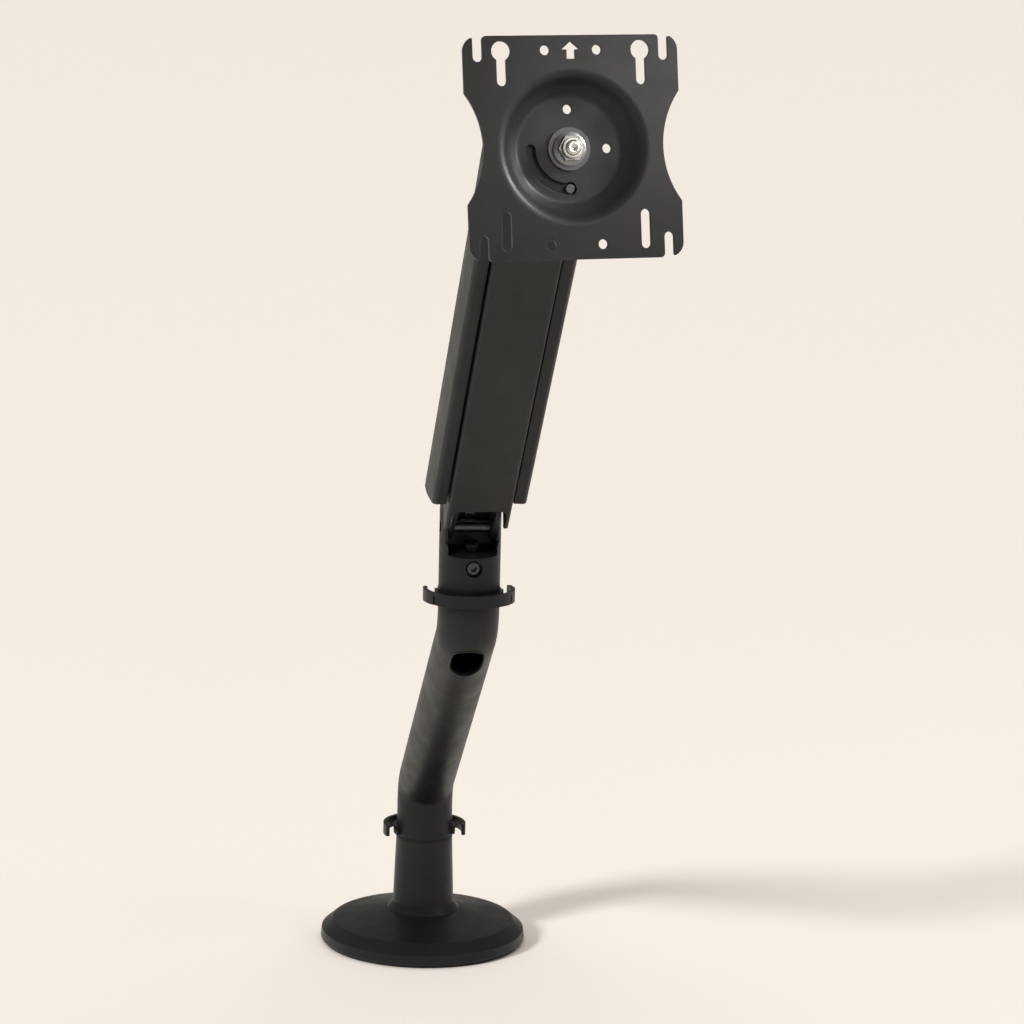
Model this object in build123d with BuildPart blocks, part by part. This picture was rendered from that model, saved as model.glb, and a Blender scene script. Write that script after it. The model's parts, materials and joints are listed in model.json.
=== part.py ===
"""Desk-mounted monitor arm: round base and post, bent tube, swivel head, spring arm and VESA plate.

Millimetres, +Z up.  The origin is the centre of the base's underside, on the lower swivel axis.
The arm points along -Y, and +X is to its right as seen from the front.
"""
import os
from math import cos, radians, sin

from build123d import *

os.makedirs("parts", exist_ok=True)

# ---- driving dimensions ----
TUBE_R = 19.25  # 38 mm steel tube and its powder coat
TUBE_WALL = 2.5
DISC_R = 71.5
DISC_TOP_R = 63.0
PAD_T = 2.0
BAND_TOP = 9.2
DISC_TOP_Z = 15.7
CROWN_Z = 23.0
POST_TOP = 74.9
WASHER_T = 0.8
SWING_X = -6.3  # sideways place of the upper swivel axis
REACH = 219.3  # forward reach of the bent tube
LOWER_BEND_Z = 112.7
UPPER_BEND_Z = 269.4
TUBE_TOP = 294.8
BEND_R = 26.0
SPINDLE_R = 9.0
FIT = 0.05  # radial clearance of a turning fit
SEAT = 0.1  # gap under a part that turns on a washer

LIFT_ANGLE = 48.0  # slope of the arm above horizontal at rest
ARM_LENGTH = 324.0  # pivot to pivot
PIVOT_Z = 334.0
LINK_RISE = 22.0  # the upper link's pivots stand this far above the lower link's
LINK_PIN_R = 4.0
TIP_PIN_R = 3.2  # the upper link's pin at the tip
CHANNEL_HALF = 19.8
CHANNEL_WALL = 2.5
CHANNEL_FACE = 17.0  # outer face of the lower channel's web, from the pivot line
CHANNEL_BACK = -9.0
WEB_START = 35.6
WEB_END = 300.0
LEG_IN = 11.8
LEG_OUT = 14.8
UPPER_IN = 20.4
UPPER_OUT = 22.9
UPPER_TOP = -24.0
COVER_IN = 22.9
COVER_FRONT = 14.0
CHEEK_IN = 15.3

PAN_AHEAD = 26.0  # swivel axis ahead of the tip pivot
PAN_TURN = 4.5  # the plate's heading at rest, to the right of the arm
PLATE_Y = -515.0
PLATE_Z = 586.5
TILT_UP = 8.0
PLATE_TURN = 1.5
TILT_BEHIND = 29.0  # tilt axis behind the plate's front face
PLATE_W = 115.5
PLATE_H = 116.6
PLATE_T = 2.5
VESA_SMALL = 75.0
VESA_LARGE = 100.0
SCREW_SLOT = 5.2
DISH_R = 39.0
DISH_FLOOR_R = 27.4
DISH_DEPTH = 11.0

# ---- places worked out from them ----
TIP_Y = -REACH - ARM_LENGTH * cos(radians(LIFT_ANGLE))
TIP_Z = PIVOT_Z + ARM_LENGTH * sin(radians(LIFT_ANGLE))
PAN_Y = TIP_Y - PAN_AHEAD
TILT_Y = PLATE_Y + TILT_BEHIND * cos(radians(TILT_UP))
TILT_Z = PLATE_Z - TILT_BEHIND * sin(radians(TILT_UP))
ALONG = Vector(0, -cos(radians(LIFT_ANGLE)), sin(radians(LIFT_ANGLE)))
RISE_S = LINK_RISE * sin(radians(LIFT_ANGLE))
RISE_T = -LINK_RISE * cos(radians(LIFT_ANGLE))
HEAD_AXIS = Plane(origin=(SWING_X, -REACH, 0), x_dir=(1, 0, 0), z_dir=(0, 0, 1))
TUBE_HEADING = Vector(SWING_X, -REACH, 0).normalized()

# Local x of the arm's side plane runs along the arm, local y down and forward, local z to the right.
ARM_SIDE = Plane(origin=(SWING_X, -REACH, PIVOT_Z), x_dir=ALONG, z_dir=(1, 0, 0))
# Local x of the profile plane is to the right, local y up and back; it is carried along the arm.
ARM_PROFILE = Plane(origin=(SWING_X, -REACH, PIVOT_Z), x_dir=(1, 0, 0), z_dir=ALONG)
# Side view of what doesn't tilt: local x forward, local y up.
HEAD_SIDE = Plane(origin=(SWING_X, -REACH, 0), x_dir=(0, -1, 0), z_dir=(-1, 0, 0))
TIP_SIDE = Plane(origin=(SWING_X, TIP_Y, TIP_Z), x_dir=(0, -1, 0), z_dir=(-1, 0, 0))
KNUCKLE_AXIS = Plane(origin=(SWING_X, PAN_Y, 0), x_dir=(1, 0, 0), z_dir=(0, 0, 1))

ahead = Vector(sin(radians(PAN_TURN)), -cos(radians(PAN_TURN)), 0)
aside = Vector(cos(radians(PAN_TURN)), sin(radians(PAN_TURN)), 0)
PAN_AXIS = Plane(origin=KNUCKLE_AXIS.origin, x_dir=aside, z_dir=(0, 0, 1))
normal = ahead * cos(radians(TILT_UP)) + Vector(0, 0, sin(radians(TILT_UP)))
plate_centre = PAN_AXIS.origin + ahead * (PAN_Y - PLATE_Y) + Vector(0, 0, PLATE_Z)
tilt_centre = PAN_AXIS.origin + ahead * (PAN_Y - TILT_Y) + Vector(0, 0, TILT_Z)
level_plate = Plane(origin=plate_centre, x_dir=aside, z_dir=normal)
turn = radians(PLATE_TURN)
across_plate = level_plate.x_dir * cos(turn) + level_plate.y_dir * sin(turn)
PLATE = Plane(origin=plate_centre, x_dir=across_plate, z_dir=normal)
TILT_SIDE = Plane(origin=tilt_centre, x_dir=normal, z_dir=aside * -1)
TILT_AHEAD = Plane(origin=tilt_centre, x_dir=aside, z_dir=normal)


def save(part, name):
    """Label a finished piece and write its STEP file."""
    part.label = name
    export_step(part, f"parts/{name}.step")


def turned(profile, axis_plane=Plane.XY):
    """A turned piece: the (radius, height) outline revolved about the plane's normal."""
    origin = axis_plane.origin
    section = Plane(origin=origin, x_dir=axis_plane.x_dir, z_dir=axis_plane.x_dir.cross(axis_plane.z_dir))
    with BuildPart() as piece:
        with BuildSketch(section):
            with BuildLine():
                Polyline(*profile, close=True)
            make_face()
        revolve(axis=Axis(origin, axis_plane.z_dir))
    return piece.part


def cross_pin(plane, x, y, radius, half_length, head_r=0.0, head_t=0.0):
    """A pin across the arm at (x, y) of a side plane, with a head at each end when one is given."""
    with BuildPart() as pin:
        with BuildSketch(plane):
            with Locations((x, y)):
                Circle(radius)
        extrude(amount=half_length, both=True)
        if head_r:
            for side in (-1, 1):
                with BuildSketch(plane.offset(side * half_length)):
                    with Locations((x, y)):
                        Circle(head_r)
                extrude(amount=side * head_t)
                with BuildSketch(plane.offset(side * (half_length + head_t))):
                    with Locations((x, y)):
                        RegularPolygon(head_r * 0.45, 6)
                extrude(amount=-side * head_t * 0.6, mode=Mode.SUBTRACT)
    return pin.part


# ---- base: pad, disc, post, insert, spindle and washer ----
PAD_IN = 18.0
SPIGOT_R = 15.0
INSERT_R = 8.0
INSERT_TOP = 26.0
TAP_R = 4.25
TAP_DEPTH = 20.0
SPINDLE_FOOT = 40.0
SPINDLE_TOP = 97.0

base_pad = turned([(PAD_IN, 0), (DISC_R - 2.5, 0), (DISC_R - 2.5, PAD_T), (PAD_IN, PAD_T)])
save(base_pad, "base_pad")

with BuildPart() as base_disc:
    with BuildSketch(Plane.XZ):
        with BuildLine():
            Polyline(
                (SPIGOT_R, PAD_T),
                (DISC_R - 0.6, PAD_T),
                (DISC_R, PAD_T + 1.2),
                (DISC_R - 0.6, BAND_TOP),
                (DISC_TOP_R, DISC_TOP_Z),
                (26.0, CROWN_Z),
                (SPIGOT_R, CROWN_Z),
                close=True,
            )
        make_face()
    revolve(axis=Axis.Z)
    rims = base_disc.edges().filter_by(GeomType.CIRCLE)
    fillet([e for e in rims if abs(e.radius - (DISC_R - 0.6)) < 0.01 and e.center().Z > BAND_TOP - 1], 0.8)
    rims = base_disc.edges().filter_by(GeomType.CIRCLE)
    fillet([e for e in rims if abs(e.radius - DISC_TOP_R) < 0.01], 0.8)
save(base_disc.part, "base_disc")

base_post = turned(
    [
        (INSERT_R, 4.0),
        (SPIGOT_R, 4.0),
        (SPIGOT_R, CROWN_Z),
        (25.4, CROWN_Z),
        (25.0, CROWN_Z + 0.8),
        (21.5, 28.6),
        (21.2, 29.6),
        (19.6, POST_TOP - 0.4),
        (19.2, POST_TOP),
        (SPINDLE_R, POST_TOP),
        (SPINDLE_R, SPINDLE_FOOT),
        (0, SPINDLE_FOOT),
        (0, INSERT_TOP),
        (INSERT_R, INSERT_TOP),
    ]
)
save(base_post, "base_post")

threaded_insert = turned(
    [
        (TAP_R, PAD_T),
        (INSERT_R, PAD_T),
        (INSERT_R, INSERT_TOP),
        (0, INSERT_TOP),
        (0, PAD_T + TAP_DEPTH),
        (TAP_R, PAD_T + TAP_DEPTH),
    ]
)
save(threaded_insert, "threaded_insert")

lower_spindle = turned(
    [
        (0, SPINDLE_FOOT),
        (SPINDLE_R, SPINDLE_FOOT),
        (SPINDLE_R, SPINDLE_TOP - 1),
        (SPINDLE_R - 1, SPINDLE_TOP),
        (0, SPINDLE_TOP),
    ]
)
save(lower_spindle, "lower_spindle")

lower_washer = turned(
    [(SPINDLE_R, POST_TOP), (19.7, POST_TOP), (19.7, POST_TOP + WASHER_T), (SPINDLE_R, POST_TOP + WASHER_T)]
)
save(lower_washer, "lower_washer")

# ---- bent tube with its two bushes ----
TUBE_FOOT = POST_TOP + WASHER_T + SEAT
TUBE_IN = TUBE_R - TUBE_WALL
HOLE_BACK = 15.5  # cable hole, from the upper bend down the slope
HOLE_LENGTH = 33.0
HOLE_WIDTH = 21.0

slope = Vector(SWING_X, -REACH, UPPER_BEND_Z - LOWER_BEND_Z).normalized()
across = slope.cross(Vector(0, 0, 1)).normalized()
underside = slope.cross(across)
if underside.Z > 0:
    underside = underside * -1
hole_centre = Vector(SWING_X, -REACH, UPPER_BEND_Z) - slope * HOLE_BACK

with BuildPart() as bent_tube:
    with BuildLine() as tube_route:
        FilletPolyline(
            (0, 0, TUBE_FOOT),
            (0, 0, LOWER_BEND_Z),
            (SWING_X, -REACH, UPPER_BEND_Z),
            (SWING_X, -REACH, TUBE_TOP),
            radius=BEND_R,
        )
    with BuildSketch(Plane.XY.offset(TUBE_FOOT)):
        Circle(TUBE_R)
        Circle(TUBE_IN, mode=Mode.SUBTRACT)
    sweep(path=tube_route.wires()[0])
    with BuildSketch(Plane(origin=hole_centre, x_dir=slope, z_dir=underside)):
        SlotOverall(HOLE_LENGTH, HOLE_WIDTH)
    extrude(amount=TUBE_R + 8, mode=Mode.SUBTRACT)
save(bent_tube.part, "bent_tube")


def bush(low, high, axis_plane):
    """A nylon bush between a spindle and the tube's bore."""
    bore = SPINDLE_R + FIT
    return turned([(bore, low), (TUBE_IN, low), (TUBE_IN, high), (bore, high)], axis_plane)


save(bush(TUBE_FOOT, TUBE_FOOT + 21, Plane.XY), "lower_bush")
save(bush(TUBE_TOP - 10.6, TUBE_TOP, HEAD_AXIS), "upper_bush")

# ---- cable clips: an open ring on a snap collar ----
CLIP_OUT = 28.8
CLIP_IN = 26.2
CLIP_H = 7.6
CLIP_SPAN = 108.0  # half of the ring's arc
COLLAR_OUT = 21.6
COLLAR_SPAN = 112.0
NOTCH_ANGLE = 57.5
NOTCH_W = 1.6
NOTCH_ROOF = 2.0


def arc_band(inner, outer, half_span):
    """A flat ring sector centred on local +X."""
    with BuildSketch() as band:
        with BuildLine():
            outside = CenterArc((0, 0), outer, -half_span, 2 * half_span)
            inside = CenterArc((0, 0), inner, -half_span, 2 * half_span)
            Line(outside @ 0, inside @ 0)
            Line(outside @ 1, inside @ 1)
        make_face()
    return band.sketch


def cable_clip(origin, closed_side, name):
    """A spring clip round the tube, whose outer ring is open on the side away from closed_side."""
    seat = Plane(origin=origin, x_dir=closed_side, z_dir=(0, 0, 1))
    with BuildPart() as clip:
        with BuildSketch(seat):
            add(arc_band(CLIP_IN, CLIP_OUT, CLIP_SPAN))
        extrude(amount=CLIP_H)
        with BuildSketch(seat.offset(0.6)):
            add(arc_band(TUBE_R + FIT, COLLAR_OUT, COLLAR_SPAN))
        extrude(amount=CLIP_H - 1.8)
        with BuildSketch(seat.offset(0.6)):
            with Locations(((COLLAR_OUT + CLIP_IN) / 2, 0)):
                Rectangle(CLIP_IN - COLLAR_OUT + 1.0, 14.0)
        extrude(amount=CLIP_H - 2.8)
        with BuildSketch(seat):
            for side in (-1, 1):
                with Locations(Rotation(0, 0, side * NOTCH_ANGLE) * Pos((CLIP_IN + CLIP_OUT) / 2, 0, 0)):
                    Rectangle(6.0, NOTCH_W)
        extrude(amount=CLIP_H - NOTCH_ROOF, mode=Mode.SUBTRACT)
        tips = [e for e in clip.edges().filter_by(Axis.Z) if seat.to_local_coords(e.center()).X < -5]
        fillet([e for e in tips if abs(seat.to_local_coords(e.center()).Y) > 23], 0.9)
    save(clip.part, name)


cable_clip((0, 0, TUBE_FOOT + 1.2), TUBE_HEADING * -1, "lower_cable_clip")
cable_clip((SWING_X, -REACH, TUBE_TOP - CLIP_H), (0, -1, 0), "upper_cable_clip")

# ---- swivel head ----
HEAD_FOOT = TUBE_TOP + SEAT + WASHER_T
HEAD_TOP = PIVOT_Z + LINK_RISE
HEAD_BACK_Z = 330.0
CHEEK_TOP_R = 11.0
HEAD_RIM_Z = 316.4  # front of the head's scooped mouth
HEAD_FLOOR_Z = 319.0
SLOT_BACK = -8.6
EYE_SLOT_HALF = 4.6
EYE_SLOT_LOW = 336.0
SPRING_PIN_AHEAD = -4.0
SPRING_PIN_UP = 13.0
SPRING_PIN_R = 3.0
SPINDLE_END = 312.0
SET_SCREW_Z = 310.0
SET_SCREW_R = 5.3
TENSION_SCREW = Plane(
    origin=(SWING_X, -REACH - 3.5, HEAD_FLOOR_Z), x_dir=(1, 0, 0), z_dir=Vector(0, -0.35, 0.937).normalized()
)

upper_washer = turned(
    [
        (SPINDLE_R, TUBE_TOP + SEAT),
        (19.7, TUBE_TOP + SEAT),
        (19.7, HEAD_FOOT),
        (SPINDLE_R, HEAD_FOOT),
    ],
    HEAD_AXIS,
)
save(upper_washer, "upper_washer")

head_spindle = turned(
    [
        (0, TUBE_TOP - 10.6),
        (SPINDLE_R - 1, TUBE_TOP - 10.6),
        (SPINDLE_R, TUBE_TOP - 9.6),
        (SPINDLE_R, SPINDLE_END),
        (0, SPINDLE_END),
    ],
    HEAD_AXIS,
)
save(head_spindle, "head_spindle")

with BuildPart() as swivel_head:
    with BuildSketch(HEAD_AXIS.offset(HEAD_FOOT)):
        Circle(TUBE_R)
    extrude(amount=90)
    with BuildSketch(HEAD_SIDE):
        with BuildLine():
            Polyline(
                (CHEEK_TOP_R, HEAD_TOP),
                (9.0, 326.0),
                (12.0, 322.0),
                (TUBE_R + 1, HEAD_RIM_Z),
                (TUBE_R + 1, HEAD_FOOT - 1),
                (-TUBE_R - 1, HEAD_FOOT - 1),
                (-TUBE_R - 1, HEAD_BACK_Z),
                (-CHEEK_TOP_R - 1, HEAD_BACK_Z + 14),
                (-CHEEK_TOP_R, HEAD_TOP),
            )
            ThreePointArc((-CHEEK_TOP_R, HEAD_TOP), (0, HEAD_TOP + CHEEK_TOP_R), (CHEEK_TOP_R, HEAD_TOP))
        make_face()
    extrude(amount=TUBE_R + 1, both=True, mode=Mode.INTERSECT)
    with BuildSketch(HEAD_SIDE):
        with BuildLine():
            Polyline(
                (TUBE_R + 2, HEAD_RIM_Z),
                (0, HEAD_FLOOR_Z),
                (SLOT_BACK, HEAD_FLOOR_Z + 2),
                (SLOT_BACK, HEAD_TOP + 20),
                (TUBE_R + 2, HEAD_TOP + 20),
                close=True,
            )
        make_face()
    extrude(amount=CHEEK_IN, both=True, mode=Mode.SUBTRACT)
    with BuildSketch(HEAD_SIDE):
        with Locations((-7.0, (EYE_SLOT_LOW + HEAD_TOP + 20) / 2)):
            Rectangle(14.0, HEAD_TOP + 20 - EYE_SLOT_LOW)
    extrude(amount=EYE_SLOT_HALF, both=True, mode=Mode.SUBTRACT)
    with BuildSketch(HEAD_AXIS.offset(HEAD_FOOT)):
        Circle(SPINDLE_R)
    extrude(amount=SPINDLE_END - HEAD_FOOT, mode=Mode.SUBTRACT)
    with BuildSketch(Plane(origin=(SWING_X, -REACH, SET_SCREW_Z), x_dir=(1, 0, 0), z_dir=(0, -1, 0))):
        Circle(SET_SCREW_R)
    extrude(amount=TUBE_R + 2, mode=Mode.SUBTRACT)
    with BuildSketch(TENSION_SCREW.offset(-4.0)):
        Circle(3.0)
    extrude(amount=6.0, mode=Mode.SUBTRACT)
    with BuildSketch(HEAD_SIDE):
        with Locations((0, PIVOT_Z), (0, HEAD_TOP)):
            Circle(LINK_PIN_R)
        with Locations((SPRING_PIN_AHEAD, PIVOT_Z + SPRING_PIN_UP)):
            Circle(SPRING_PIN_R)
    extrude(amount=TUBE_R + 2, both=True, mode=Mode.SUBTRACT)
save(swivel_head.part, "swivel_head")

with BuildPart() as set_screw:
    face = Plane(origin=(SWING_X, -REACH - 11.0, SET_SCREW_Z), x_dir=(1, 0, 0), z_dir=(0, -1, 0))
    with BuildSketch(face.offset(-1.9)):
        Circle(SET_SCREW_R)
    extrude(amount=3.4)
    with BuildSketch(face.offset(1.5)):
        Circle(4.4)
    extrude(amount=4.0)
    fillet(set_screw.edges().filter_by(GeomType.CIRCLE).sort_by(Axis.Y)[0], 0.9)
    with BuildSketch(face.offset(5.5)):
        RegularPolygon(2.3, 6)
    extrude(amount=-3.0, mode=Mode.SUBTRACT)
save(set_screw.part, "set_screw")

lower_pivot_pin = cross_pin(HEAD_SIDE, 0, PIVOT_Z, LINK_PIN_R, TUBE_R - 1.5)
save(lower_pivot_pin, "lower_pivot_pin")

with BuildPart() as upper_pivot_pin:
    for side in (-1, 1):
        with BuildSketch(HEAD_SIDE.offset(side * (CHEEK_IN - 3.0))):
            with Locations((0, HEAD_TOP)):
                Circle(LINK_PIN_R)
        extrude(amount=side * (UPPER_OUT - 0.2 - CHEEK_IN + 3.0))
save(upper_pivot_pin.part, "upper_pivot_pin")
spring_pin = cross_pin(HEAD_SIDE, SPRING_PIN_AHEAD, PIVOT_Z + SPRING_PIN_UP, SPRING_PIN_R, TUBE_R - 3)
save(spring_pin, "spring_pin")

with BuildPart() as tension_screw:
    with BuildSketch(TENSION_SCREW.offset(-4.0)):
        Circle(3.0)
    extrude(amount=7.0)
    with BuildSketch(TENSION_SCREW.offset(2.0)):
        Circle(4.6)
    extrude(amount=4.2)
    with BuildSketch(TENSION_SCREW.offset(6.2)):
        RegularPolygon(2.3, 6)
    extrude(amount=-2.6, mode=Mode.SUBTRACT)
save(tension_screw.part, "tension_screw")

# ---- lower channel: web towards the front, side walls, and legs that narrow to the head pivot ----
TIP_EYE_R = 9.0
LEG_EYE_R = 7.8

with BuildPart() as lower_channel:
    with BuildSketch(ARM_SIDE):
        with BuildLine():
            Polyline(
                (30.0, CHANNEL_BACK),
                (ARM_LENGTH, CHANNEL_BACK),
                (ARM_LENGTH + TIP_EYE_R, 0),
                (ARM_LENGTH, TIP_EYE_R),
                (WEB_END, CHANNEL_FACE),
                (19.0, CHANNEL_FACE),
                (15.0, 13.0),
                (24.0, 2.0),
                close=True,
            )
        make_face()
    extrude(amount=CHANNEL_HALF, both=True)
    outer_edges = lower_channel.edges().filter_by(lambda e: e.length > 200)
    fillet([e for e in outer_edges if ARM_SIDE.to_local_coords(e.center()).Y > CHANNEL_FACE - 1], 2.2)
    with BuildSketch(ARM_SIDE):
        with Locations((160, -20)):
            Rectangle(500, 2 * (CHANNEL_FACE - CHANNEL_WALL + 20))
    extrude(amount=CHANNEL_HALF - CHANNEL_WALL, both=True, mode=Mode.SUBTRACT)
    mouth = CHANNEL_HALF - CHANNEL_WALL - 0.2
    ahead_of_web = ARM_SIDE.from_local_coords((0, CHANNEL_FACE + 2, 0))
    with BuildSketch(Plane(origin=ahead_of_web, x_dir=ALONG, z_dir=-ARM_SIDE.y_dir)):
        with Locations((WEB_START / 2 - 10, 0)):
            RectangleRounded(WEB_START + 20, 2 * mouth, 5.0)
    extrude(amount=6.0, mode=Mode.SUBTRACT)
    for side in (-1, 1):
        with BuildSketch(ARM_SIDE.offset(side * LEG_IN)):
            with BuildLine():
                eye = LEG_EYE_R
                Polyline((0, -eye), (34.0, -6.0), (60.0, -6.0), (60.0, 12.0), (24.0, 12.0), (0, eye))
                ThreePointArc((0, eye), (-eye, 0), (0, -eye))
            make_face()
        extrude(amount=side * (LEG_OUT - LEG_IN))
        with BuildSketch(ARM_SIDE.offset(side * LEG_OUT)):
            with Locations((47.0, 3.0)):
                Rectangle(26.0, 18.0)
        extrude(amount=side * (CHANNEL_HALF - CHANNEL_WALL - LEG_OUT))
    with BuildSketch(ARM_SIDE):
        with Locations((0, 0), (ARM_LENGTH, 0)):
            Circle(LINK_PIN_R + FIT)
        with Locations((290.0, -3.0)):
            Circle(3.0)
    extrude(amount=CHANNEL_HALF + 1, both=True, mode=Mode.SUBTRACT)
save(lower_channel.part, "lower_channel")

# ---- gas spring: cylinder pinned in the channel, rod reaching back to the head's pin ----
SPRING_FAR = (290.0, -3.0)
SPRING_NEAR = (
    SPRING_PIN_AHEAD * cos(radians(LIFT_ANGLE)) + SPRING_PIN_UP * sin(radians(LIFT_ANGLE)),
    SPRING_PIN_AHEAD * sin(radians(LIFT_ANGLE)) - SPRING_PIN_UP * cos(radians(LIFT_ANGLE)),
)
near = ARM_SIDE.from_local_coords((SPRING_NEAR[0], SPRING_NEAR[1], 0))
far = ARM_SIDE.from_local_coords((SPRING_FAR[0], SPRING_FAR[1], 0))
SPRING_DIR = (far - near).normalized()
SPRING_LENGTH = (far - near).length
SPRING_AXIS = Plane(origin=near, x_dir=(1, 0, 0), z_dir=SPRING_DIR)
SPRING_SIDE = Plane(origin=near, x_dir=SPRING_DIR, z_dir=(1, 0, 0))
CYLINDER_R = 7.5
ROD_R = 3.5
CYLINDER_START = 120.0

with BuildPart() as spring_cylinder:
    with BuildSketch(SPRING_AXIS.offset(CYLINDER_START)):
        Circle(CYLINDER_R)
    extrude(amount=SPRING_LENGTH - 12 - CYLINDER_START)
    with BuildSketch(SPRING_AXIS.offset(CYLINDER_START - 1)):
        Circle(ROD_R + FIT)
    extrude(amount=SPRING_LENGTH - 40 - CYLINDER_START, mode=Mode.SUBTRACT)
    with BuildSketch(SPRING_SIDE):
        with Locations((SPRING_LENGTH - 7, 0)):
            Rectangle(14, 10)
        with Locations((SPRING_LENGTH, 0)):
            Circle(5.5)
            Circle(3.0, mode=Mode.SUBTRACT)
    extrude(amount=4.0, both=True)
    with BuildSketch(SPRING_SIDE):
        with Locations((SPRING_LENGTH, 0)):
            Circle(3.0)
    extrude(amount=6.0, both=True, mode=Mode.SUBTRACT)
save(spring_cylinder.part, "spring_cylinder")

ROD_EYE_R = 7.2
ROD_EYE_GAP = 2.6  # the eye stands clear of the head's pin all round

with BuildPart() as spring_rod:
    with BuildSketch(SPRING_AXIS.offset(6.2)):
        Circle(ROD_R)
    extrude(amount=CYLINDER_START + 60)
    with BuildSketch(SPRING_SIDE):
        Circle(ROD_EYE_R)
    extrude(amount=ROD_R, both=True)
    with BuildSketch(SPRING_SIDE):
        Circle(SPRING_PIN_R + ROD_EYE_GAP)
    extrude(amount=6, both=True, mode=Mode.SUBTRACT)
save(spring_rod.part, "spring_rod")

save(cross_pin(ARM_SIDE, SPRING_FAR[0], SPRING_FAR[1], 3.0, CHANNEL_HALF), "spring_end_pin")

# ---- upper channel and covers ----
UPPER_EYE_R = 6.0
TIP_RISE_S = ARM_LENGTH + RISE_S
COVER_OUT = 29.2
COVER_WALL = 2.0
COVER_BACK = -24.5
LIP_GAP = 1.1  # from the lower channel's side to the covers' front lips
LIP_BACK = -9.0
TIP_ROUND = ARM_LENGTH + 6.0  # the round tip starts here
TIP_END = ARM_LENGTH + 24.5
RECESS_ALONG = ARM_LENGTH - 2.0
RECESS_R = 12.0

with BuildPart() as upper_channel:
    with BuildSketch(ARM_SIDE):
        with BuildLine():
            Polyline(
                (RISE_S, RISE_T + UPPER_EYE_R),
                (60.0, 4.0),
                (ARM_LENGTH - 30, 4.0),
                (TIP_RISE_S, RISE_T + UPPER_EYE_R),
            )
            ThreePointArc(
                (TIP_RISE_S, RISE_T + UPPER_EYE_R),
                (TIP_RISE_S + UPPER_EYE_R, RISE_T),
                (TIP_RISE_S, RISE_T - UPPER_EYE_R),
            )
            Polyline(
                (TIP_RISE_S, RISE_T - UPPER_EYE_R),
                (ARM_LENGTH - 4, UPPER_TOP),
                (34.0, UPPER_TOP),
                (RISE_S, RISE_T - UPPER_EYE_R),
            )
            ThreePointArc(
                (RISE_S, RISE_T - UPPER_EYE_R),
                (RISE_S - UPPER_EYE_R, RISE_T),
                (RISE_S, RISE_T + UPPER_EYE_R),
            )
        make_face()
    extrude(amount=UPPER_OUT, both=True)
    with BuildSketch(ARM_SIDE):
        with Locations((170, UPPER_TOP + 2.5 + 30)):
            Rectangle(600, 60)
    extrude(amount=UPPER_IN, both=True, mode=Mode.SUBTRACT)
    with BuildSketch(ARM_SIDE):
        with Locations((34.0 / 2 - 20, -10), (ARM_LENGTH - 4 + 40, -10)):
            Rectangle(74.0, 60)
    extrude(amount=UPPER_IN, both=True, mode=Mode.SUBTRACT)
    with BuildSketch(ARM_SIDE):
        with Locations((RISE_S, RISE_T)):
            Circle(LINK_PIN_R + FIT)
        with Locations((TIP_RISE_S, RISE_T)):
            Circle(TIP_PIN_R + 0.4)
    extrude(amount=UPPER_OUT + 1, both=True, mode=Mode.SUBTRACT)
save(upper_channel.part, "upper_channel")


def cover(side, name):
    """A convex side shell: its section runs along the arm, cut level at the foot and round at the tip."""
    out = side * COVER_OUT
    inner = side * COVER_IN
    lip = side * (CHANNEL_HALF + LIP_GAP)
    with BuildPart() as shell:
        with BuildSketch(ARM_PROFILE):
            with BuildLine():
                nose = (out - side * 2.6, -COVER_FRONT)
                cheek = (out, 5 - COVER_FRONT)
                shoulder = (out - side * 0.7, -COVER_BACK - 6)
                Polyline((inner, LIP_BACK), (lip, LIP_BACK), (lip, 0.6 - COVER_FRONT), nose)
                ThreePointArc(nose, (out - side * 0.6, 1.6 - COVER_FRONT), cheek)
                ThreePointArc(cheek, (out + side * 0.3, 3.0), shoulder)
                ThreePointArc(shoulder, (out - side * 2.4, -COVER_BACK - 1.4), (out - side * 5.0, -COVER_BACK))
                Polyline((out - side * 5.0, -COVER_BACK), (inner, -COVER_BACK), (inner, LIP_BACK))
            make_face()
        extrude(amount=ARM_LENGTH + 40)
        with BuildSketch(ARM_SIDE):
            with BuildLine():
                Polyline(
                    (36.0, 40),
                    (39.5, COVER_FRONT),
                    (12.0, COVER_BACK),
                    (0.0, -40),
                    (ARM_LENGTH + 60, -40),
                    (ARM_LENGTH + 60, 40),
                    close=True,
                )
            make_face()
        extrude(amount=COVER_OUT + 5, both=True, mode=Mode.INTERSECT)
        with BuildSketch(ARM_SIDE):
            with BuildLine():
                Polyline((-10, 50), (-10, -50), (TIP_ROUND, -50), (TIP_ROUND, COVER_BACK))
                ThreePointArc((TIP_ROUND, COVER_BACK), (TIP_END, -5.25), (TIP_ROUND, COVER_FRONT))
                Polyline((TIP_ROUND, COVER_FRONT), (TIP_ROUND, 50), (-10, 50))
            make_face()
        extrude(amount=COVER_OUT + 5, both=True, mode=Mode.INTERSECT)
        with BuildSketch(ARM_SIDE.offset(out - side * 1.8)):
            with Locations((RECESS_ALONG, -3)):
                Circle(RECESS_R)
        extrude(amount=side * 5, mode=Mode.SUBTRACT)
        with BuildSketch(ARM_SIDE.offset(inner)):
            with BuildLine():
                Polyline(
                    (43.0, 8.0),
                    (19.0, COVER_BACK + COVER_WALL),
                    (ARM_LENGTH - 20, COVER_BACK + COVER_WALL),
                    (ARM_LENGTH - 20, 8.0),
                    close=True,
                )
            make_face()
        extrude(amount=side * (COVER_OUT - COVER_IN - COVER_WALL - 0.6), mode=Mode.SUBTRACT)
    save(shell.part, name)


cover(-1, "left_cover")
cover(1, "right_cover")

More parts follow.
